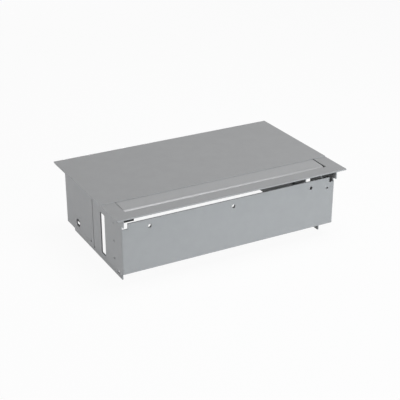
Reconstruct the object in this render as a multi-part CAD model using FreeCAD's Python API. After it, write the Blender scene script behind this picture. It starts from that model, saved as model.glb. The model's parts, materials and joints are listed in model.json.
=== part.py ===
import FreeCAD, Part
import math
import os
from FreeCAD import Vector

# Built-in desk socket unit: a folded steel box that drops into a desk cut-out and hangs by its frame,
# with a hinged lid, a cable flap along the lid's front edge and a rail of sockets inside.
# Millimetres. +Z is up, the front wall faces -Y, and the origin is at the bottom, under the centre.

# Top plate, lid and frame
plate_width = 301.0
plate_depth = 187.6
total_height = 90.4
side_overhang = 9.3
end_overhang = 9.8
lid_sheet = 0.8
frame_sheet = 1.5
front_strip = 17.0
frame_ledge = 5.0
frame_rear_ledge = 8.0
seat_rebate = 0.3
seat_fit = 0.3

# Folded box under the frame, with heights above the end plates' lower edge
wall_sheet = 1.5
bend_radius = 2.0
front_shell_bottom = 16.5
rear_shell_bottom = 12.4
cheek_slit = 1.2
cheek_slit_y = -2.0
outlet_gap = 9.7
ear_reach = 4.0
ear_height = 11.9
notch_width = 7.9
notch_drop = 6.4

# Holes and slots in the box walls, from the nearest edge or fold
screw_hole_radius = 2.25
screw_hole_inset = 34.2
screw_hole_drop = 18.4
pilot_hole_radius = 1.25
front_pilot_inset = 10.4
front_pilot_drop = 23.2
clamp_slot_width = 12.0
clamp_slot_setback = 53.0
clamp_slot_rise = 1.7
clamp_slot_drop = 18.1
cheek_hole_radius = 5.4
cheek_hole_inset = 37.6
cheek_hole_rise = 12.7
rear_pilot_behind_slit = 9.0
rear_pilot_rise = 5.9

# End plates inside the cheeks, which stand lower than the box and carry it
end_plate_gap = 5.2
end_sheet = 1.5
end_front_setback = 18.0
end_rear_setback = 7.0
end_flange_rise = 3.5
end_flange_drop = 8.1
end_lip = 8.0
window_inset = 21.5
window_length = 40.5
window_bottom = 9.0
window_drop = 22.4
bolt_slot_length = 10.0
bolt_slot_height = 5.0
bolt_slot_inset = 13.0
bolt_slot_z = 15.5
foot_slot_length = 6.5
foot_slot_height = 4.0
foot_slot_inset = 10.0
foot_slot_z = 6.2

# Flush rivets between the front shell and the end plates
rivet_radius = 1.5
rivet_tail = 0.6
rivet_inset = 3.8
rivet_pitch = 22.0
rivet_count = 3
rivet_fit = 0.05

# Lid hinge along the rear edge
pin_radius = 0.6
pin_fit = 0.05
hinge_gap = 0.3
lid_hinge_inset = 40.0
frame_knuckle_length = 14.0

# Cable flap along the front of the lid
flap_length = 25.8
flap_sheet = 1.5
flap_slope_drop = 0.5
flap_nose_radius = 6.0
flap_left_gap = 0.8
flap_right_gap = 1.6
flap_front_gap = 2.0
flap_lap = 0.6
knuckle_split = 0.6
flap_hinge_inset = 33.0
flap_knuckle_radius = 1.6
flap_knuckle_length = 10.0
lid_knuckle_length = 14.0
knuckle_neck = 3.0
neck_height = 1.2
outlet_behind_flap = 8.4

# End stops of the cable outlet
stop_width = 14.5
stop_height = 8.5

# Socket rail
rail_setback = 28.0
rail_end_margin = 2.5
socket_face = 45.0
socket_gap = 1.0
socket_body = 42.0
socket_proud = 6.0
socket_depth = 24.0
socket_corner = 2.0
socket_fit = 0.2
well_radius = 19.5
well_depth = 17.5
contact_radius = 2.6
contact_pitch = 19.0
contact_depth = 4.0
clip_width = 4.0
clip_thickness = 1.4
clip_length = 13.0
clip_side_gap = 0.1
panel_sheet = 1.5
panel_rim = 1.0
panel_top_gap = 1.8
panel_tab = 14.0
panel_tab_height = 35.0
panel_screw_radius = 2.0
panel_screw_fit = 0.1
panel_screw_head_radius = 3.5
panel_screw_head_height = 2.2
panel_screw_length = 7.0
panel_screw_rise = 9.0
panel_tongue_width = 4.0
panel_tongue_height = 8.0
panel_tongue_fit = 0.1

# Busbars and the cover behind the sockets
busbar_height = 6.0
busbar_thickness = 1.0
busbar_overhang = 8.0
rear_cover_wall = 1.5
rear_cover_depth = 6.0

# Mains inlet in the rear wall
inlet_inset = 49.0
inlet_width = 26.0
inlet_height = 15.0
inlet_inner_depth = 14.0
inlet_rim = 2.5
inlet_rim_depth = 2.0
inlet_wall = 2.0
inlet_recess = 12.0
inlet_fit = 0.2
inlet_pin_width = 1.2
inlet_pin_height = 5.0
inlet_pin_length = 9.0
inlet_pin_pitch = 6.5
inlet_pin_count = 3

# Levels and planes worked out from the sizes above
body_width = plate_width - 2 * side_overhang
body_depth = plate_depth - 2 * end_overhang
lid_under = total_height - lid_sheet
frame_top = lid_under
frame_under = frame_top - frame_sheet
shell_top = frame_under + seat_rebate
front_wall_top = frame_under - outlet_gap
cheek_outer_x = body_width / 2
cheek_inner_x = cheek_outer_x - wall_sheet
wall_outer_y = body_depth / 2
wall_inner_y = wall_outer_y - wall_sheet
end_outer_x = cheek_inner_x - end_plate_gap
end_inner_x = end_outer_x - end_sheet
end_front_y = -wall_outer_y + end_front_setback
end_rear_y = wall_outer_y - end_rear_setback
end_flange_bottom = front_shell_bottom + end_flange_rise
end_flange_top = frame_under - end_flange_drop
screw_hole_x = cheek_outer_x - screw_hole_inset
screw_hole_z = frame_under - screw_hole_drop
clamp_slot_y = -wall_outer_y + clamp_slot_setback
knuckle_radius = (total_height - frame_under) / 2
lid_axis_y = plate_depth / 2 - knuckle_radius
lid_axis_z = frame_under + knuckle_radius
lid_hinge_x = plate_width / 2 - lid_hinge_inset
outlet_front_y = -plate_depth / 2 + front_strip
outlet_half_width = end_inner_x
flap_left_x = -outlet_half_width + flap_left_gap
flap_right_x = outlet_half_width - flap_right_gap
flap_hinge_x = outlet_half_width - flap_hinge_inset
flap_under = frame_top - flap_sheet
flap_front_y = outlet_front_y + flap_front_gap
flap_rear_y = flap_front_y + flap_length
lid_front_y = flap_rear_y - flap_lap
flap_axis_y = flap_rear_y + knuckle_split / 2
flap_axis_z = flap_under - hinge_gap - flap_knuckle_radius
panel_front_y = wall_inner_y - rail_setback
panel_rear_y = panel_front_y + panel_sheet
panel_height = socket_face + 2 * panel_rim
socket_pitch = socket_face + socket_gap
socket_count = int((2 * end_inner_x - 2 * rail_end_margin) // socket_pitch)
socket_center_z = frame_under - panel_top_gap - panel_height / 2
socket_front_y = panel_front_y - socket_proud
socket_rear_y = socket_front_y + socket_depth
rear_cover_half_width = (socket_count - 1) / 2 * socket_pitch + socket_body / 2
rear_cover_bottom = socket_center_z - socket_body / 2
inlet_x = rear_cover_half_width - inlet_inset
rivet_y = end_front_y + rivet_inset
rivet_middle_z = (end_flange_bottom + end_flange_top) / 2

ORIGIN = Vector(0, 0, 0)
X_AXIS = Vector(1, 0, 0)
Y_AXIS = Vector(0, 1, 0)


def box(x0, x1, y0, y1, z0, z1):
    """Box between two corners."""
    return Part.makeBox(x1 - x0, y1 - y0, z1 - z0, Vector(x0, y0, z0))


def rod(radius, start, axis, length):
    """Cylinder from a start point along an axis."""
    return Part.makeCylinder(radius, length, start, axis)


def mirrored(shape):
    """Copy on the other side of the middle plane between left and right."""
    return shape.mirror(ORIGIN, X_AXIS)


def both_sides(shape):
    """The shape and its mirrored copy, as one tool for a cut or fuse."""
    return Part.makeCompound([shape, mirrored(shape)])


def spaced(count, pitch):
    """Centred row of positions."""
    return [(index - (count - 1) / 2) * pitch for index in range(count)]


def upright_box(width, depth, z0, z1):
    """Box about the Z axis, with the list of its four vertical edges."""
    block = box(-width / 2, width / 2, -depth / 2, depth / 2, z0, z1)
    return block, [edge for edge in block.Edges if abs(edge.tangentAt(edge.FirstParameter).z) > 0.5]


def rounded_box(width, depth, z0, z1, radius):
    """Box about the Z axis with its four vertical edges rounded."""
    block, edges = upright_box(width, depth, z0, z1)
    return block.makeFillet(radius, edges)


def chamfered_box(width, depth, z0, z1, corner):
    """Box about the Z axis with its four vertical edges cut off."""
    block, edges = upright_box(width, depth, z0, z1)
    return block.makeChamfer(corner, edges)


def folded_shell(bottom, side):
    """Wall and two cheeks folded from one sheet; side is -1 for the front half and 1 for the rear half."""
    outer = rounded_box(body_width, body_depth, bottom, shell_top, bend_radius)
    inner = rounded_box(body_width - 2 * wall_sheet, body_depth - 2 * wall_sheet, bottom, shell_top,
                        bend_radius - wall_sheet)
    near = cheek_slit_y + side * cheek_slit / 2
    reach_y = sorted((near, side * body_depth))
    return outer.cut(inner).common(box(-body_width, body_width, *reach_y, bottom, shell_top))


def front_wall_bore(radius, x, z):
    """Tool for one hole through the front wall."""
    return rod(radius, Vector(x, -wall_outer_y - wall_sheet, z), Y_AXIS, 3 * wall_sheet)


def cheek_bore(radius, y, z):
    """Tool for one hole through each cheek."""
    start = Vector(cheek_inner_x - wall_sheet, y, z)
    return both_sides(rod(radius, start, X_AXIS, 3 * wall_sheet))


def rivet_heights():
    """Heights of the rivets in one cheek."""
    return [rivet_middle_z + offset for offset in spaced(rivet_count, rivet_pitch)]


def make_front_shell():
    """Front half of the box: a low wall, slotted cheeks and an unbent ear at each top corner."""
    shell = folded_shell(front_shell_bottom, -1)
    fold_y = -wall_outer_y + bend_radius
    above_wall = box(-body_width, body_width, -body_depth, fold_y, front_wall_top, total_height)
    notch = box(cheek_outer_x - notch_width, body_width, -body_depth, fold_y,
                front_wall_top - notch_drop, front_wall_top)
    shell = shell.cut(above_wall).cut(both_sides(notch))
    ear = box(cheek_inner_x, cheek_outer_x, -wall_outer_y - ear_reach, fold_y,
              frame_under - ear_height, shell_top)
    shell = shell.fuse([ear, mirrored(ear)])
    slot = box(cheek_inner_x - wall_sheet, cheek_outer_x + wall_sheet,
               clamp_slot_y - clamp_slot_width / 2, clamp_slot_y + clamp_slot_width / 2,
               front_shell_bottom + clamp_slot_rise, frame_under - clamp_slot_drop)
    cuts = [both_sides(slot)]
    cuts += [front_wall_bore(screw_hole_radius, x, screw_hole_z) for x in spaced(3, screw_hole_x)]
    cuts.append(front_wall_bore(pilot_hole_radius, cheek_outer_x - front_pilot_inset,
                                frame_under - front_pilot_drop))
    cuts += [cheek_bore(rivet_radius + rivet_fit, rivet_y, z) for z in rivet_heights()]
    return shell.cut(cuts).removeSplitter()


def make_rear_shell():
    """Rear half of the box, closed up to the frame, with a cut-out for the mains inlet."""
    shell = folded_shell(rear_shell_bottom, 1)
    inlet_z0 = rear_cover_bottom - inlet_height
    inlet_hole = box(inlet_x - inlet_width / 2 - inlet_fit, inlet_x + inlet_width / 2 + inlet_fit,
                     wall_inner_y - wall_sheet, wall_outer_y + wall_sheet,
                     inlet_z0 - inlet_fit, inlet_z0 + inlet_height + inlet_fit)
    cuts = [inlet_hole]
    cuts.append(cheek_bore(cheek_hole_radius, wall_outer_y - cheek_hole_inset,
                           rear_shell_bottom + cheek_hole_rise))
    cuts.append(cheek_bore(pilot_hole_radius, cheek_slit_y + rear_pilot_behind_slit,
                           rear_shell_bottom + rear_pilot_rise))
    return shell.cut(cuts).removeSplitter()


def end_plate_slot(y, z, length, height):
    """Tool for one level slot through the right end plate, given its middle."""
    return box(0, body_width, y - length / 2, y + length / 2, z - height / 2, z + height / 2)


def make_end_plate():
    """Right end plate: a windowed web with flanges folded out to the cheeks."""
    web = box(end_inner_x, end_outer_x, end_front_y, end_rear_y, 0, shell_top)
    lip_inner_x = cheek_inner_x - end_sheet
    pieces = []
    for edge_y, inward in ((end_front_y, 1), (end_rear_y, -1)):
        flange_y = sorted((edge_y, edge_y + inward * end_sheet))
        lip_y = sorted((edge_y, edge_y + inward * end_lip))
        pieces.append(box(end_inner_x, cheek_inner_x, *flange_y, end_flange_bottom, end_flange_top))
        pieces.append(box(lip_inner_x, cheek_inner_x, *lip_y, end_flange_bottom, end_flange_top))
    plate = web.fuse(pieces)
    window_y = end_front_y + window_inset
    window = box(0, end_outer_x + end_sheet, window_y, window_y + window_length,
                 window_bottom, frame_under - window_drop)
    foot_slot = end_plate_slot(end_front_y + foot_slot_inset, foot_slot_z, foot_slot_length, foot_slot_height)
    bolt_slot = end_plate_slot(end_rear_y - bolt_slot_inset, bolt_slot_z, bolt_slot_length, bolt_slot_height)
    cuts = [window, foot_slot, bolt_slot, panel_tongue(panel_tongue_fit)]
    for z in rivet_heights():
        start = Vector(lip_inner_x - end_sheet, rivet_y, z)
        cuts.append(rod(rivet_radius + rivet_fit, start, X_AXIS, body_width))
    cuts.append(rod(panel_screw_radius + panel_screw_fit, panel_screw_seat(0), X_AXIS, body_width))
    return plate.cut(cuts).removeSplitter()


def make_rivets():
    """Rivets dressed flush with the front cheeks, through the end plates' lips."""
    length = wall_sheet + end_sheet + rivet_tail
    rivets = []
    for z in rivet_heights():
        rivet = rod(rivet_radius, Vector(cheek_outer_x - length, rivet_y, z), X_AXIS, length)
        rivets += [rivet, mirrored(rivet)]
    return Part.makeCompound(rivets)


def lid_knuckle_cut(radius, bore_start, length):
    """Round relief along the lid hinge axis."""
    return rod(radius, Vector(bore_start, lid_axis_y, lid_axis_z), X_AXIS, length)


def make_seat():
    """Rebate under the frame that takes the top edges of the box and its ears."""
    seat = rounded_box(body_width + 2 * seat_fit, body_depth + 2 * seat_fit, frame_under, shell_top,
                       bend_radius + seat_fit)
    ear = box(cheek_inner_x - seat_fit, cheek_outer_x + seat_fit, -wall_outer_y - ear_reach - seat_fit, 0,
              frame_under, shell_top)
    return seat.fuse([ear, mirrored(ear)])


def make_frame():
    """Flange frame that rests on the desk, open over the box, with hinge knuckles on its rear edge."""
    rear_edge = lid_axis_y - knuckle_radius - hinge_gap
    plate = box(-plate_width / 2, plate_width / 2, -plate_depth / 2, rear_edge, frame_under, frame_top)
    access = box(-end_outer_x + frame_ledge, end_outer_x - frame_ledge, outlet_front_y,
                 wall_inner_y - frame_rear_ledge, frame_under, frame_top)
    outlet = box(-outlet_half_width, outlet_half_width, outlet_front_y, flap_rear_y + outlet_behind_flap,
                 frame_under, frame_top)
    plate = plate.cut([access, outlet, make_seat()])
    knuckles = []
    for x in (-lid_hinge_x, lid_hinge_x):
        x0 = x - frame_knuckle_length / 2
        knuckles.append(lid_knuckle_cut(knuckle_radius, x0, frame_knuckle_length))
        knuckles.append(box(x0, x0 + frame_knuckle_length, rear_edge, lid_axis_y, frame_under, lid_axis_z))
    bore = lid_knuckle_cut(pin_radius + pin_fit, -plate_width / 2, plate_width)
    return plate.fuse(knuckles).cut(bore).removeSplitter()


def make_lid():
    """Lid plate with a rounded hinge edge at the rear; it laps the flap and carries its knuckles in front."""
    plate = box(-plate_width / 2, plate_width / 2, lid_front_y, lid_axis_y, lid_under, total_height)
    edge = lid_knuckle_cut(knuckle_radius, -plate_width / 2, plate_width)
    lid = plate.fuse(edge)
    cuts = [lid_knuckle_cut(pin_radius + pin_fit, -plate_width / 2, plate_width)]
    for x in (-lid_hinge_x, lid_hinge_x):
        half = frame_knuckle_length / 2 + hinge_gap
        relief_y = lid_axis_y - knuckle_radius - hinge_gap
        cuts.append(box(x - half, x + half, relief_y, plate_depth, 0, 2 * total_height))
    knuckles = []
    for x in (-flap_hinge_x, flap_hinge_x):
        x0 = x - lid_knuckle_length / 2
        x1 = x + lid_knuckle_length / 2
        knuckles.append(flap_knuckle(x0, x1, 1, lid_under))
    lid = lid.fuse(knuckles)
    cuts.append(flap_bore())
    return lid.cut(cuts).removeSplitter()


def flap_knuckle(x0, x1, side, under):
    """Knuckle on the flap's axis with a neck up to a sheet; side is 1 for the lid and -1 for the flap."""
    barrel = rod(flap_knuckle_radius, Vector(x0, flap_axis_y, flap_axis_z), X_AXIS, x1 - x0)
    near = flap_axis_y + side * knuckle_split / 2
    neck_y = sorted((near, near + side * knuckle_neck))
    neck = box(x0, x1, *neck_y, flap_axis_z + flap_knuckle_radius - neck_height, under)
    return barrel.fuse(neck)


def flap_bore():
    """Bore for the flap's hinge pin, over the whole width."""
    start = Vector(-plate_width / 2, flap_axis_y, flap_axis_z)
    return rod(pin_radius + pin_fit, start, X_AXIS, plate_width)


def make_flap():
    """Cable flap: a sheet level with the frame, with a nose rolled down in front, hung on its rear edge."""
    nose_top = frame_top - flap_slope_drop
    nose_back_y = flap_front_y + flap_nose_radius
    nose_center_z = nose_top - flap_nose_radius
    turn = math.sqrt(0.5)
    inner_radius = flap_nose_radius - flap_sheet
    outer_mid = Vector(0, nose_back_y - flap_nose_radius * turn, nose_center_z + flap_nose_radius * turn)
    inner_mid = Vector(0, nose_back_y - inner_radius * turn, nose_center_z + inner_radius * turn)
    rear_top = Vector(0, flap_rear_y, frame_top)
    rear_low = Vector(0, flap_rear_y, flap_under)
    outer_start = Vector(0, nose_back_y, nose_top)
    outer_end = Vector(0, flap_front_y, nose_center_z)
    inner_end = Vector(0, flap_front_y + flap_sheet, nose_center_z)
    inner_start = Vector(0, nose_back_y, nose_top - flap_sheet)
    outline = Part.Wire([
        Part.makeLine(rear_top, outer_start),
        Part.Arc(outer_start, outer_mid, outer_end).toShape(),
        Part.makeLine(outer_end, inner_end),
        Part.Arc(inner_end, inner_mid, inner_start).toShape(),
        Part.makeLine(inner_start, rear_low),
        Part.makeLine(rear_low, rear_top),
    ])
    sheet = Part.Face(outline).extrude(Vector(flap_right_x - flap_left_x, 0, 0))
    sheet.translate(Vector(flap_left_x, 0, 0))
    inside = flap_hinge_x + lid_knuckle_length / 2 + hinge_gap
    knuckle = flap_knuckle(inside, inside + flap_knuckle_length, -1, flap_under)
    return sheet.fuse([knuckle, mirrored(knuckle)]).cut(flap_bore()).removeSplitter()


def make_lid_pin():
    """Hinge pin through the whole rear edge."""
    return rod(pin_radius, Vector(-plate_width / 2, lid_axis_y, lid_axis_z), X_AXIS, plate_width)


def make_flap_pin():
    """Hinge pin under the lid's front edge, ending flush with the flap knuckles."""
    half = flap_hinge_x + lid_knuckle_length / 2 + hinge_gap + flap_knuckle_length
    return rod(pin_radius, Vector(-half, flap_axis_y, flap_axis_z), X_AXIS, 2 * half)


def make_end_stops():
    """Blocks under the frame that close both ends of the cable outlet, inside the cheeks."""
    stop = box(cheek_inner_x - stop_width, cheek_inner_x, -wall_inner_y, outlet_front_y + hinge_gap,
               frame_under - stop_height, shell_top)
    return both_sides(stop)


def socket_places():
    """Middle of each socket along the rail."""
    return spaced(socket_count, socket_pitch)


def panel_screw_seat(x):
    """Point on the axis of the screw at one end of the socket panel."""
    return Vector(x, panel_rear_y + panel_tab / 2, socket_center_z + panel_screw_rise)


def panel_tongue(fit):
    """Tongue at the panel's right end that locks into the end plate, widened by a fit for its slot."""
    middle_y = panel_rear_y + panel_tab / 2
    middle_z = socket_center_z - panel_screw_rise
    half_y = panel_tongue_width / 2 + fit
    half_z = panel_tongue_height / 2 + fit
    return box(end_inner_x - panel_sheet, end_outer_x + fit, middle_y - half_y, middle_y + half_y,
               middle_z - half_z, middle_z + half_z)


def rail_block(x, y0, y1, size):
    """Square block with cut corners that reaches through the rail from front to rear."""
    block = chamfered_box(size, size, y0, y1, socket_corner)
    block.rotate(ORIGIN, X_AXIS, -90)
    block.translate(Vector(x, 0, socket_center_z))
    return block


def make_socket(x):
    """Earthed power socket: a square face with a round well, two contact holes and two clip grooves."""
    face = rail_block(x, socket_front_y, panel_front_y, socket_face)
    body = rail_block(x, panel_front_y, socket_rear_y, socket_body)
    socket = face.fuse(body)
    cuts = [rod(well_radius, Vector(x, socket_front_y, socket_center_z), Y_AXIS, well_depth)]
    for offset in spaced(2, contact_pitch):
        start = Vector(x, socket_front_y + well_depth, socket_center_z + offset)
        cuts.append(rod(contact_radius, start, Y_AXIS, contact_depth))
    for clip in earth_clip_boxes(x, clip_side_gap):
        cuts.append(clip)
    return socket.cut(cuts).removeSplitter()


def earth_clip_boxes(x, side_gap):
    """Pair of strips along the well's left and right sides, widened by a gap for their grooves."""
    outer = well_radius + clip_thickness / 2
    half = clip_width / 2 + side_gap
    boxes = []
    for side in (-1, 1):
        across = sorted((x + side * (outer - clip_thickness), x + side * outer))
        boxes.append(box(*across, socket_front_y + well_depth - clip_length, socket_front_y + well_depth,
                         socket_center_z - half, socket_center_z + half))
    return boxes


def make_earth_clips():
    """Earth strips of all the sockets."""
    clips = []
    for x in socket_places():
        clips += earth_clip_boxes(x, 0)
    return Part.makeCompound(clips)


def make_panel():
    """Socket panel with square cut-outs and, at each end, a tab folded back with a tongue."""
    z0 = socket_center_z - panel_height / 2
    panel = box(-end_inner_x, end_inner_x, panel_front_y, panel_rear_y, z0, z0 + panel_height)
    tab = box(end_inner_x - panel_sheet, end_inner_x, panel_front_y, panel_rear_y + panel_tab,
              socket_center_z - panel_tab_height / 2, socket_center_z + panel_tab_height / 2)
    tongue = panel_tongue(0)
    panel = panel.fuse([tab, mirrored(tab), tongue, mirrored(tongue)])
    cuts = [rail_block(x, panel_front_y - panel_sheet, panel_rear_y + panel_sheet,
                       socket_body + 2 * socket_fit) for x in socket_places()]
    start = panel_screw_seat(end_inner_x - 2 * panel_sheet)
    hole = rod(panel_screw_radius + panel_screw_fit, start, X_AXIS, 3 * panel_sheet)
    cuts.append(both_sides(hole))
    return panel.cut(cuts).removeSplitter()


def make_panel_screws():
    """Pan-head screws that hold the socket panel to the end plates."""
    seat = panel_screw_seat(end_inner_x - panel_sheet)
    head = rod(panel_screw_head_radius, seat, -X_AXIS, panel_screw_head_height)
    shank = rod(panel_screw_radius, seat, X_AXIS, panel_screw_length)
    return both_sides(head.fuse(shank).removeSplitter())


def make_busbar(offset):
    """Strip across the backs of all the sockets."""
    half = (socket_count - 1) / 2 * socket_pitch + contact_pitch / 2 + busbar_overhang
    middle = socket_center_z + offset
    return box(-half, half, socket_rear_y, socket_rear_y + busbar_thickness,
               middle - busbar_height / 2, middle + busbar_height / 2)


def make_rear_cover():
    """Tray over the backs of the sockets, open to the front."""
    half = rear_cover_half_width
    z0 = rear_cover_bottom
    z1 = z0 + socket_body
    tray = box(-half, half, socket_rear_y, socket_rear_y + rear_cover_depth, z0, z1)
    hollow = box(-half + rear_cover_wall, half - rear_cover_wall, socket_rear_y,
                 socket_rear_y + rear_cover_depth - rear_cover_wall,
                 z0 + rear_cover_wall, z1 - rear_cover_wall)
    return tray.cut(hollow)


def make_inlet():
    """Mains inlet: a block through the rear wall with an outer rim and an open recess."""
    x0 = inlet_x - inlet_width / 2
    x1 = inlet_x + inlet_width / 2
    z1 = rear_cover_bottom
    z0 = z1 - inlet_height
    rear = wall_outer_y + inlet_rim_depth
    body = box(x0, x1, wall_inner_y - inlet_inner_depth, rear, z0, z1)
    rim = box(x0 - inlet_rim, x1 + inlet_rim, wall_outer_y, rear, z0 - inlet_rim, z1 + inlet_rim)
    recess = box(x0 + inlet_wall, x1 - inlet_wall, rear - inlet_recess, rear,
                 z0 + inlet_wall, z1 - inlet_wall)
    return body.fuse(rim).cut(recess).removeSplitter()


def make_inlet_pins():
    """Flat contact pins that stand on the floor of the inlet's recess."""
    middle_z = rear_cover_bottom - inlet_height / 2
    floor_y = wall_outer_y + inlet_rim_depth - inlet_recess
    pins = []
    for offset in spaced(inlet_pin_count, inlet_pin_pitch):
        x = inlet_x + offset
        pins.append(box(x - inlet_pin_width / 2, x + inlet_pin_width / 2,
                        floor_y, floor_y + inlet_pin_length,
                        middle_z - inlet_pin_height / 2, middle_z + inlet_pin_height / 2))
    return Part.makeCompound(pins)


def make_parts():
    """All the pieces by name."""
    right_plate = make_end_plate()
    parts = {
        "frame": make_frame(),
        "front_shell": make_front_shell(),
        "rear_shell": make_rear_shell(),
        "end_plate_right": right_plate,
        "end_plate_left": mirrored(right_plate),
        "shell_rivets": make_rivets(),
        "outlet_end_stops": make_end_stops(),
        "socket_panel": make_panel(),
        "panel_screws": make_panel_screws(),
        "earth_clips": make_earth_clips(),
        "live_busbar": make_busbar(contact_pitch / 2),
        "neutral_busbar": make_busbar(-contact_pitch / 2),
        "earth_busbar": make_busbar(0),
        "socket_rear_cover": make_rear_cover(),
        "mains_inlet": make_inlet(),
        "inlet_pins": make_inlet_pins(),
        "lid_hinge_pin": make_lid_pin(),
        "lid": make_lid(),
        "flap_hinge_pin": make_flap_pin(),
        "cable_flap": make_flap(),
    }
    for number, x in enumerate(socket_places(), start=1):
        parts[f"power_socket_{number}"] = make_socket(x)
    return parts


def main():
    """Writes one file per piece."""
    os.makedirs("parts", exist_ok=True)
    for name, shape in make_parts().items():
        shape.exportStep(f"parts/{name}.step")
        print(f"{name}: {len(shape.Solids)} solid(s), {shape.Volume / 1000:.2f} cm3, valid {shape.isValid()}")


main()
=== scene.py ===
import json
import math

import bmesh
import bpy
from mathutils import Matrix, Vector


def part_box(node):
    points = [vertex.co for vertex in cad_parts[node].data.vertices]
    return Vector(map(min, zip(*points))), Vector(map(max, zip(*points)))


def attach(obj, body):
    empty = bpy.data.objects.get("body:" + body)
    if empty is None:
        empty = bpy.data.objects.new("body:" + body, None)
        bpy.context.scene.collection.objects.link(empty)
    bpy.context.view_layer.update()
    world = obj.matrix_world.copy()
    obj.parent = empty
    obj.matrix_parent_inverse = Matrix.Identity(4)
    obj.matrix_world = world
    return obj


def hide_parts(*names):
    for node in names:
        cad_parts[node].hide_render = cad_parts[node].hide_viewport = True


# Looks of the built-in desk socket unit: finishes and small visible details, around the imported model.
# Metres. +Z is up and the front wall faces -Y.

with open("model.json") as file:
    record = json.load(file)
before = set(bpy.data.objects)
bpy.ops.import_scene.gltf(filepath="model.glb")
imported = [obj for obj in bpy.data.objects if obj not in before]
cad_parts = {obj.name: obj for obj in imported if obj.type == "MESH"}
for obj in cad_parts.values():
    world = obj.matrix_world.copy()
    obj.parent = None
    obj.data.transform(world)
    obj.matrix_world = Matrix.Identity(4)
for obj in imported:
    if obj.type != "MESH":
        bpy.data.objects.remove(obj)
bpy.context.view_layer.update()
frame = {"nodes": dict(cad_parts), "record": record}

MM = 0.001

# Camera at the photograph's viewing angle
camera_place = (-0.5240, -0.9706, 0.5540)
camera_pitch = math.radians(65.16)
camera_yaw = math.radians(-28.43)
camera_lens = 89.03
camera_sensor = 36.0

# Floor and surroundings
floor_half_size = 20.0
floor_grey = 0.8
floor_roughness = 0.9
floor_glow_share = 0.94
white_strength = 1.0
world_strength = 0.15

# Softboxes, which all look at the middle of the unit
unit_middle = (0, 0, 0.06)
front_light_place = (0.6, -1.8, 0.25)
front_light_size = (0.8, 0.8)
front_light_power = 31.5
front_light_tint = (0.91, 0.97, 1.0)
top_light_place = (0.25, -0.15, 1.2)
top_light_size = (0.6, 0.9)
top_light_power = 8.6
top_light_tint = (1.0, 1.0, 1.0)
left_light_place = (-1.7, 0.05, 0.15)
left_light_size = (0.8, 0.8)
left_light_power = 14.8
left_light_tint = (0.965, 0.985, 1.0)
rear_light_place = (0.25, 1.8, 0.05)
rear_light_size = (0.8, 0.08)
rear_light_power = 13
rear_light_tint = (1.0, 1.0, 1.0)

# Noise behind the finishes, and the part of its range that they use
noise_detail = 3.0
cloud_detail = 6.0
grain_detail = 2.0
noise_roughness = 0.55
noise_low = 0.3
noise_high = 0.7

# Powder coat: faint clouds, an uneven sheen and a fine orange peel
coat_cloud_size = 14 * MM
coat_cloud_spread = 0.008
coat_sheen_size = 0.8 * MM
coat_sheen_spread = 0.05
coat_peel_size = 0.55 * MM
coat_peel_depth = 0.02 * MM
coat_peel_strength = 0.2

# Metals: stains, an uneven sheen and a fine grain
metal_stain_size = 1.5 * MM
metal_sheen_size = 0.4 * MM
metal_sheen_spread = 0.06
metal_grain_size = 0.25 * MM
metal_grain_depth = 0.01 * MM
metal_grain_strength = 0.3

# Plastics and rubber: clouds, an uneven sheen and an eroded grain
plastic_cloud_size = 6 * MM
plastic_sheen_spread = 0.06
plastic_grain_depth = 0.04 * MM
plastic_grain_strength = 0.4

# Broken edges of the carried-over nodes
edge_break = 0.2 * MM
lid_edge_break = 0.04 * MM
edge_break_steps = 2
edge_angle = math.radians(35)
weld_reach = 0.002 * MM

# Collars of the front wall's screw holes, and the rivets
turn_steps = 32
collar_wall = 0.7 * MM
collar_reach = 1.2 * MM
rivet_bore_share = 0.55
rivet_edge = 0.15 * MM

# Pan-head screws of the socket panel
screw_shank_radius = 2.0 * MM
screw_thread_pitch = 0.7 * MM
screw_thread_depth = 0.3 * MM
screw_rings_per_turn = 6
screw_head_radius = 3.5 * MM
screw_head_height = 2.2 * MM
screw_wall_height = 1.21 * MM
screw_shoulder_height = 1.804 * MM
screw_shoulder_inset = 0.175 * MM
screw_crown_inset = 0.65 * MM
screw_socket_across = 2.5 * MM
screw_socket_mouth = 2.7 * MM
screw_socket_chamfer = 0.12 * MM
screw_socket_depth = 1.4 * MM

# Rims, plug guides and contact shutters of the sockets
clip_seat_depth = 0.7 * MM
rim_width = 1.6 * MM
rim_height = 0.6 * MM
rim_edge = 0.25 * MM
guide_width = 4.0 * MM
guide_height = 1.1 * MM
guide_edge = 0.4 * MM
contact_offset = 9.5 * MM
shutter_radius = 2.55 * MM
shutter_depth = 0.8 * MM
shutter_thickness = 0.8 * MM
shutter_edge = 0.3 * MM
shutter_dish_radius = 1.5 * MM
shutter_dish_depth = 0.35 * MM


def new_material(name):
    """Empty procedural material with its node tree and shader."""
    material = bpy.data.materials.new(name)
    material.use_nodes = True
    tree = material.node_tree
    return material, tree, tree.nodes["Principled BSDF"]


def add_noise(tree, size, detail=noise_detail):
    """Noise over the object, with features of about the given size."""
    place = tree.nodes.new("ShaderNodeTexCoord")
    noise = tree.nodes.new("ShaderNodeTexNoise")
    noise.inputs["Scale"].default_value = 1 / size
    noise.inputs["Detail"].default_value = detail
    noise.inputs["Roughness"].default_value = noise_roughness
    tree.links.new(place.outputs["Object"], noise.inputs["Vector"])
    return noise.outputs["Fac"]


def vary_value(tree, source, middle, spread, target):
    """Sends a noise to a number of the shader, on both sides of a middle value."""
    limits = tree.nodes.new("ShaderNodeMapRange")
    limits.inputs["From Min"].default_value = noise_low
    limits.inputs["From Max"].default_value = noise_high
    limits.inputs["To Min"].default_value = middle - spread
    limits.inputs["To Max"].default_value = middle + spread
    tree.links.new(source, limits.inputs["Value"])
    tree.links.new(limits.outputs["Result"], target)


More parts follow.
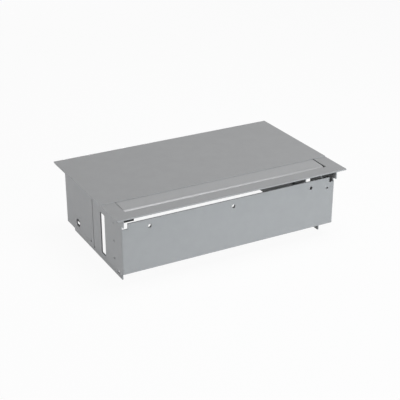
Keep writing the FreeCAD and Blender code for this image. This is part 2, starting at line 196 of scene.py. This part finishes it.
def vary_colour(tree, source, dark, light, target):
    """Sends a noise to a colour of the shader, between two colours."""
    ramp = tree.nodes.new("ShaderNodeValToRGB")
    ramp.color_ramp.elements[0].position = noise_low
    ramp.color_ramp.elements[1].position = noise_high
    ramp.color_ramp.elements[0].color = (*dark, 1)
    ramp.color_ramp.elements[1].color = (*light, 1)
    tree.links.new(source, ramp.inputs["Fac"])
    tree.links.new(ramp.outputs["Color"], target)


def add_bump(tree, shader, source, depth, strength):
    """Fine relief from a noise."""
    bump = tree.nodes.new("ShaderNodeBump")
    bump.inputs["Strength"].default_value = strength
    bump.inputs["Distance"].default_value = depth
    tree.links.new(source, bump.inputs["Height"])
    tree.links.new(bump.outputs["Normal"], shader.inputs["Normal"])


def make_paint(name, colour, rough, metallic, gloss):
    """Satin silver-grey powder coat: fine orange peel, faint clouding and a soft metallic sheen."""
    material, tree, shader = new_material(name)
    dark = [value - coat_cloud_spread for value in colour]
    light = [value + coat_cloud_spread for value in colour]
    clouds = add_noise(tree, coat_cloud_size, cloud_detail)
    vary_colour(tree, clouds, dark, light, shader.inputs["Base Color"])
    sheen = add_noise(tree, coat_sheen_size)
    vary_value(tree, sheen, rough, coat_sheen_spread, shader.inputs["Roughness"])
    peel = add_noise(tree, coat_peel_size, grain_detail)
    add_bump(tree, shader, peel, coat_peel_depth, coat_peel_strength)
    shader.inputs["Metallic"].default_value = metallic
    shader.inputs["Specular IOR Level"].default_value = gloss
    return material


def make_metal(name, dark, light, rough):
    """Plain metal with faint stains and a fine grain."""
    material, tree, shader = new_material(name)
    stains = add_noise(tree, metal_stain_size)
    vary_colour(tree, stains, dark, light, shader.inputs["Base Color"])
    sheen = add_noise(tree, metal_sheen_size)
    vary_value(tree, sheen, rough, metal_sheen_spread, shader.inputs["Roughness"])
    grain = add_noise(tree, metal_grain_size)
    add_bump(tree, shader, grain, metal_grain_depth, metal_grain_strength)
    shader.inputs["Metallic"].default_value = 1.0
    return material


def make_plastic(name, dark, light, rough, grain_size):
    """Moulded plastic or rubber with an eroded grain."""
    material, tree, shader = new_material(name)
    clouds = add_noise(tree, plastic_cloud_size)
    vary_colour(tree, clouds, dark, light, shader.inputs["Base Color"])
    sheen = add_noise(tree, grain_size)
    vary_value(tree, sheen, rough, plastic_sheen_spread, shader.inputs["Roughness"])
    grain = add_noise(tree, grain_size, grain_detail)
    add_bump(tree, shader, grain, plastic_grain_depth, plastic_grain_strength)
    return material


paint = make_paint(
    "silver_powder_coat", colour=(0.34, 0.342, 0.347), rough=0.5, metallic=0.04, gloss=0.25)
flap_paint = make_paint(
    "flap_powder_coat", colour=(0.338, 0.34, 0.346), rough=0.36, metallic=0.2, gloss=0.5)
# Dark steel of the screw hole collars: its dark colour is painted shade, standing in for the shade inside
# the front wall's screw holes
hole_shade_steel = make_metal(
    "hole_shade_steel", dark=(0.05, 0.05, 0.052), light=(0.09, 0.09, 0.094), rough=0.5)
zinc = make_metal(
    "zinc_plate", dark=(0.42, 0.42, 0.43), light=(0.52, 0.52, 0.53), rough=0.34)
brass = make_metal(
    "brass", dark=(0.66, 0.48, 0.19), light=(0.76, 0.57, 0.25), rough=0.28)
rubber = make_plastic(
    "black_rubber", dark=(0.008, 0.008, 0.008), light=(0.016, 0.016, 0.016), rough=0.75, grain_size=0.5 * MM)
socket_plastic = make_plastic(
    "socket_plastic", dark=(0.045, 0.045, 0.05), light=(0.06, 0.06, 0.065), rough=0.45, grain_size=0.3 * MM)
shutter_plastic = make_plastic(
    "shutter_plastic", dark=(0.3, 0.3, 0.31), light=(0.36, 0.36, 0.37), rough=0.4, grain_size=0.3 * MM)
black_plastic = make_plastic(
    "black_plastic", dark=(0.018, 0.018, 0.02), light=(0.03, 0.03, 0.032), rough=0.5, grain_size=0.35 * MM)

SLOT_MATERIALS = {
    "sheet_metal": paint,
    "fasteners": zinc,
    "black_rubber": rubber,
    "socket_plastic": socket_plastic,
    "black_plastic": black_plastic,
    "brass": brass,
}
SOCKETS = sorted(name for name in frame["nodes"] if name.startswith("power_socket_"))


def soften_edges(node, width):
    """Breaks a node's sharp edges, so that they catch light as cut sheet does."""
    weld = node.modifiers.new("weld", "WELD")
    weld.merge_threshold = weld_reach
    bevel = node.modifiers.new("edge_break", "BEVEL")
    bevel.width = width
    bevel.segments = edge_break_steps
    bevel.limit_method = "ANGLE"
    bevel.angle_limit = edge_angle
    node.modifiers.new("even_normals", "WEIGHTED_NORMAL")


def dress_nodes():
    """Gives each carried-over node the finish of its slot, and the flap a glossier coat."""
    slots = {row["node"]: row["material_slot"] for row in frame["record"]["subparts"]}
    for name, node in frame["nodes"].items():
        finish = flap_paint if name == "cable_flap" else SLOT_MATERIALS[slots[name]]
        node.data.materials.clear()
        node.data.materials.append(finish)
        soften_edges(node, lid_edge_break if name == "lid" else edge_break)


def islands(name):
    """Lowest and highest corners of each separate solid of a node, from left to right."""
    mesh = bmesh.new()
    mesh.from_mesh(frame["nodes"][name].data)
    bmesh.ops.remove_doubles(mesh, verts=mesh.verts, dist=weld_reach)
    boxes = []
    waiting = set(mesh.verts)
    while waiting:
        front = [waiting.pop()]
        found = []
        while front:
            vertex = front.pop()
            found.append(vertex.co.copy())
            for edge in vertex.link_edges:
                other = edge.other_vert(vertex)
                if other in waiting:
                    waiting.discard(other)
                    front.append(other)
        low = Vector([min(point[axis] for point in found) for axis in range(3)])
        high = Vector([max(point[axis] for point in found) for axis in range(3)])
        boxes.append((low, high))
    mesh.free()
    return sorted(boxes, key=lambda corners: tuple(corners[0]))


def add_rings(mesh, rings, closed):
    """Skin over rings of points. A closed skin joins the last ring to the first; an open one is capped."""
    rows = [[mesh.verts.new(point) for point in ring] for ring in rings]
    pairs = list(zip(rows, rows[1:]))
    if closed:
        pairs.append((rows[-1], rows[0]))
    count = len(rows[0])
    for lower, upper in pairs:
        for index in range(count):
            after = (index + 1) % count
            mesh.faces.new((lower[index], lower[after], upper[after], upper[index]))
    if not closed:
        mesh.faces.new(rows[0][::-1])
        mesh.faces.new(rows[-1])


def circle(radius, height):
    """Ring of points about the Z axis."""
    turns = [2 * math.pi * index / turn_steps for index in range(turn_steps)]
    return [Vector((radius * math.cos(turn), radius * math.sin(turn), height)) for turn in turns]


def hexagon(across, height):
    """Ring of points on a hexagon about the Z axis, as many as a circle has."""
    points = []
    for point in circle(1.0, height):
        turn = math.atan2(point.y, point.x) % (math.pi / 3) - math.pi / 6
        reach = across / 2 / math.cos(turn)
        points.append(Vector((point.x * reach, point.y * reach, height)))
    return points


def thread_ring(radius, height):
    """Ring of a helical thread about the Z axis."""
    points = []
    for index, point in enumerate(circle(1.0, height)):
        phase = (height / screw_thread_pitch + index / turn_steps) % 1.0
        reach = radius - screw_thread_depth * abs(2 * phase - 1)
        points.append(Vector((point.x * reach, point.y * reach, height)))
    return points


def bar_rings(width, length, height, edge):
    """Rings of a low bar along Z with its top edges broken."""
    half = width / 2
    outline = [
        (-half, 0),
        (half, 0),
        (half, height - edge),
        (half - edge, height),
        (-half + edge, height),
        (-half, height - edge),
    ]
    return [[Vector((across, rise, along)) for across, rise in outline] for along in (0, length)]


def moved(rings, turn, origin):
    """Rings turned by a matrix and moved to a point."""
    return [[turn @ point + origin for point in ring] for ring in rings]


def placed(rings, origin, axis):
    """Rings turned from the Z axis to another axis and moved to a point."""
    turn = Vector((0, 0, 1)).rotation_difference(Vector(axis)).to_matrix()
    return moved(rings, turn, origin)


def finish_piece(name, mesh, material, body):
    """Makes a piece of a mesh, with smooth round faces and crisp edges."""
    bmesh.ops.recalc_face_normals(mesh, faces=mesh.faces)
    data = bpy.data.meshes.new(name)
    mesh.to_mesh(data)
    mesh.free()
    data.materials.append(material)
    data.shade_smooth()
    data.set_sharp_from_angle(angle=edge_angle)
    piece = bpy.data.objects.new(name, data)
    bpy.context.scene.collection.objects.link(piece)
    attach(piece, body)
    return piece


def make_rivets():
    """Tubular rivets, dressed flush with the cheeks."""
    mesh = bmesh.new()
    for low, high in islands("shell_rivets"):
        radius = (high.z - low.z) / 2
        length = high.x - low.x
        side = 1 if low.x > 0 else -1
        inner_end = (low + high) / 2
        inner_end.x = low.x if side > 0 else high.x
        bore = radius * rivet_bore_share
        rings = [
            circle(bore, 0),
            circle(radius, 0),
            circle(radius, length - rivet_edge),
            circle(radius - rivet_edge, length),
            circle(bore + rivet_edge, length),
            circle(bore, length - rivet_edge),
        ]
        add_rings(mesh, placed(rings, inner_end, (side, 0, 0)), closed=True)
    rivets = finish_piece("tubular_rivets", mesh, paint, "housing")
    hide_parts("shell_rivets")


def make_screw_hole_collars():
    """Collars drawn inwards around the front wall's screw holes, in a dark steel whose colour is painted
    shade inside the holes.
    """
    mounts = {row["name"]: row for row in frame["record"]["mounts"]}
    pitch = mounts["front_screw_holes"]["dims"]["spacing_x_mm"] * MM / 2
    hole = Vector(mounts["front_middle_hole"]["pos_m"])
    bore = mounts["front_middle_hole"]["dims"]["r_mm"] * MM
    wall = mounts["front_middle_hole"]["dims"]["length_mm"] * MM
    outer = bore + collar_wall
    rings = [
        circle(bore, 0),
        circle(outer, 0),
        circle(outer, collar_reach - collar_wall / 2),
        circle(outer - collar_wall / 2, collar_reach),
        circle(bore, collar_reach),
    ]
    mesh = bmesh.new()
    for column in (-1, 0, 1):
        root = hole + Vector((column * pitch, wall / 2, 0))
        add_rings(mesh, placed(rings, root, (0, 1, 0)), closed=True)
    # The collars' dark steel paints the shade inside the screw holes
    finish_piece("screw_hole_collars", mesh, hole_shade_steel, "housing")


def make_panel_screws():
    """Pan-head screws with a hexagon socket and a cut thread."""
    mesh = bmesh.new()
    for low, high in islands("panel_screws"):
        side = 1 if low.x > 0 else -1
        length = high.x - low.x - screw_head_height
        seat = (low + high) / 2
        seat.x = low.x + screw_head_height if side > 0 else high.x - screw_head_height
        thread_steps = round(length / screw_thread_pitch * screw_rings_per_turn)
        rings = [circle(screw_shank_radius - screw_thread_depth, -length)]
        for step in range(1, thread_steps):
            rings.append(thread_ring(screw_shank_radius, -length + length * step / thread_steps))
        rings += [
            circle(screw_shank_radius, 0),
            circle(screw_head_radius, 0),
            circle(screw_head_radius, screw_wall_height),
            circle(screw_head_radius - screw_shoulder_inset, screw_shoulder_height),
            circle(screw_head_radius - screw_crown_inset, screw_head_height),
            hexagon(screw_socket_mouth, screw_head_height),
            hexagon(screw_socket_across, screw_head_height - screw_socket_chamfer),
            hexagon(screw_socket_across, screw_head_height - screw_socket_depth),
        ]
        add_rings(mesh, placed(rings, seat, (-side, 0, 0)), closed=False)
    screws = finish_piece("panel_screws_pan_head", mesh, zinc, "housing")
    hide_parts("panel_screws")


def socket_well(name):
    """Middle of a socket's face, and the radius and depth of its well, which its earth clips show."""
    low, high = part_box(name)
    left_clip, right_clip = [corners for corners in islands("earth_clips") if low.x < corners[0].x < high.x]
    middle = Vector(((low.x + high.x) / 2, low.y, (low.z + high.z) / 2))
    radius = right_clip[1].x - middle.x - clip_seat_depth
    depth = left_clip[1].y - low.y
    return middle, radius, depth


def make_socket_collar(name):
    """Rim round a socket's well, and the plug guides in it."""
    middle, radius, depth = socket_well(name)
    outer = radius + rim_width
    rim = [
        circle(radius, 0),
        circle(outer, 0),
        circle(outer, rim_height - rim_edge),
        circle(outer - rim_edge, rim_height),
        circle(radius + rim_edge, rim_height),
        circle(radius, rim_height - rim_edge),
    ]
    mesh = bmesh.new()
    add_rings(mesh, placed(rim, middle, (0, -1, 0)), closed=True)
    guide = bar_rings(guide_width, depth, guide_height, guide_edge)
    for side in (-1, 1):
        turn = Matrix(((side, 0, 0), (0, 0, 1), (0, -side, 0)))
        root = middle + Vector((0, 0, side * radius))
        add_rings(mesh, moved(guide, turn, root), closed=False)
    finish_piece(f"{name}_collar", mesh, socket_plastic, "housing")


def make_socket_shutters(name):
    """Dished shutters in the contact holes of a socket."""
    middle, _, depth = socket_well(name)
    face = shutter_edge - shutter_depth
    shutter = [
        circle(shutter_radius, -shutter_depth - shutter_thickness),
        circle(shutter_radius, -shutter_depth),
        circle(shutter_radius - shutter_edge, face),
        circle(shutter_dish_radius, face),
        circle(shutter_dish_radius - shutter_dish_depth, face - shutter_dish_depth),
    ]
    mesh = bmesh.new()
    for offset in (-contact_offset, contact_offset):
        place = middle + Vector((0, depth, offset))
        add_rings(mesh, placed(shutter, place, (0, -1, 0)), closed=False)
    finish_piece(f"{name}_shutters", mesh, shutter_plastic, "housing")


def background_rays(tree):
    """1 for the rays that see the background directly, in gloss or through glass."""
    rays = tree.nodes.new("ShaderNodeLightPath")
    total = rays.outputs["Is Camera Ray"]
    for kind in ("Is Glossy Ray", "Is Transmission Ray"):
        either = tree.nodes.new("ShaderNodeMath")
        either.operation = "MAXIMUM"
        tree.links.new(total, either.inputs[0])
        tree.links.new(rays.outputs[kind], either.inputs[1])
        total = either.outputs["Value"]
    return total


def make_floor():
    """Pale floor under the end plates that keeps a faint shadow."""
    mesh = bpy.data.meshes.new("floor")
    reach = floor_half_size
    corners = [(-reach, -reach, 0), (reach, -reach, 0), (reach, reach, 0), (-reach, reach, 0)]
    mesh.from_pydata(corners, [], [(0, 1, 2, 3)])
    floor = bpy.data.objects.new("floor", mesh)
    bpy.context.scene.collection.objects.link(floor)
    material, tree, shader = new_material("floor_white")
    shader.inputs["Base Color"].default_value = (floor_grey, floor_grey, floor_grey, 1)
    shader.inputs["Roughness"].default_value = floor_roughness
    shader.inputs["Specular IOR Level"].default_value = 0.0
    glow = tree.nodes.new("ShaderNodeEmission")
    glow.inputs["Strength"].default_value = white_strength
    share = tree.nodes.new("ShaderNodeMath")
    share.operation = "MULTIPLY"
    share.inputs[1].default_value = floor_glow_share
    tree.links.new(background_rays(tree), share.inputs[0])
    mix = tree.nodes.new("ShaderNodeMixShader")
    tree.links.new(share.outputs["Value"], mix.inputs["Fac"])
    tree.links.new(shader.outputs["BSDF"], mix.inputs[1])
    tree.links.new(glow.outputs["Emission"], mix.inputs[2])
    tree.links.new(mix.outputs["Shader"], tree.nodes["Material Output"].inputs["Surface"])
    mesh.materials.append(material)


def make_world():
    """Surroundings that look white and light the object softly."""
    world = bpy.data.worlds.new("studio")
    world.use_nodes = True
    tree = world.node_tree
    light = tree.nodes["Background"]
    light.inputs["Color"].default_value = (1, 1, 1, 1)
    light.inputs["Strength"].default_value = world_strength
    white = tree.nodes.new("ShaderNodeBackground")
    white.inputs["Color"].default_value = (1, 1, 1, 1)
    white.inputs["Strength"].default_value = white_strength
    mix = tree.nodes.new("ShaderNodeMixShader")
    tree.links.new(background_rays(tree), mix.inputs["Fac"])
    tree.links.new(light.outputs["Background"], mix.inputs[1])
    tree.links.new(white.outputs["Background"], mix.inputs[2])
    tree.links.new(mix.outputs["Shader"], tree.nodes["World Output"].inputs["Surface"])
    bpy.context.scene.world = world


def add_softbox(name, place, size, power, tint):
    """Rectangular area lamp that looks at the unit."""
    lamp = bpy.data.lights.new(name, "AREA")
    lamp.shape = "RECTANGLE"
    lamp.size = size[0]
    lamp.size_y = size[1]
    lamp.energy = power
    lamp.color = tint
    softbox = bpy.data.objects.new(name, lamp)
    softbox.location = place
    direction = Vector(unit_middle) - Vector(place)
    softbox.rotation_euler = direction.to_track_quat("-Z", "Y").to_euler()
    bpy.context.scene.collection.objects.link(softbox)


def make_camera():
    """Camera at the photograph's viewing angle."""
    data = bpy.data.cameras.new("camera")
    data.lens = camera_lens
    data.sensor_width = camera_sensor
    camera = bpy.data.objects.new("camera", data)
    camera.location = camera_place
    camera.rotation_euler = (camera_pitch, 0, camera_yaw)
    bpy.context.scene.collection.objects.link(camera)
    bpy.context.scene.camera = camera


dress_nodes()
make_rivets()
make_screw_hole_collars()
make_panel_screws()
for socket in SOCKETS:
    make_socket_collar(socket)
    make_socket_shutters(socket)
make_floor()
make_world()
add_softbox("front_softbox", front_light_place, front_light_size, front_light_power, front_light_tint)
add_softbox("top_softbox", top_light_place, top_light_size, top_light_power, top_light_tint)
add_softbox("left_softbox", left_light_place, left_light_size, left_light_power, left_light_tint)
add_softbox("rear_softbox", rear_light_place, rear_light_size, rear_light_power, rear_light_tint)
make_camera()
bpy.context.scene.view_settings.view_transform = "Standard"
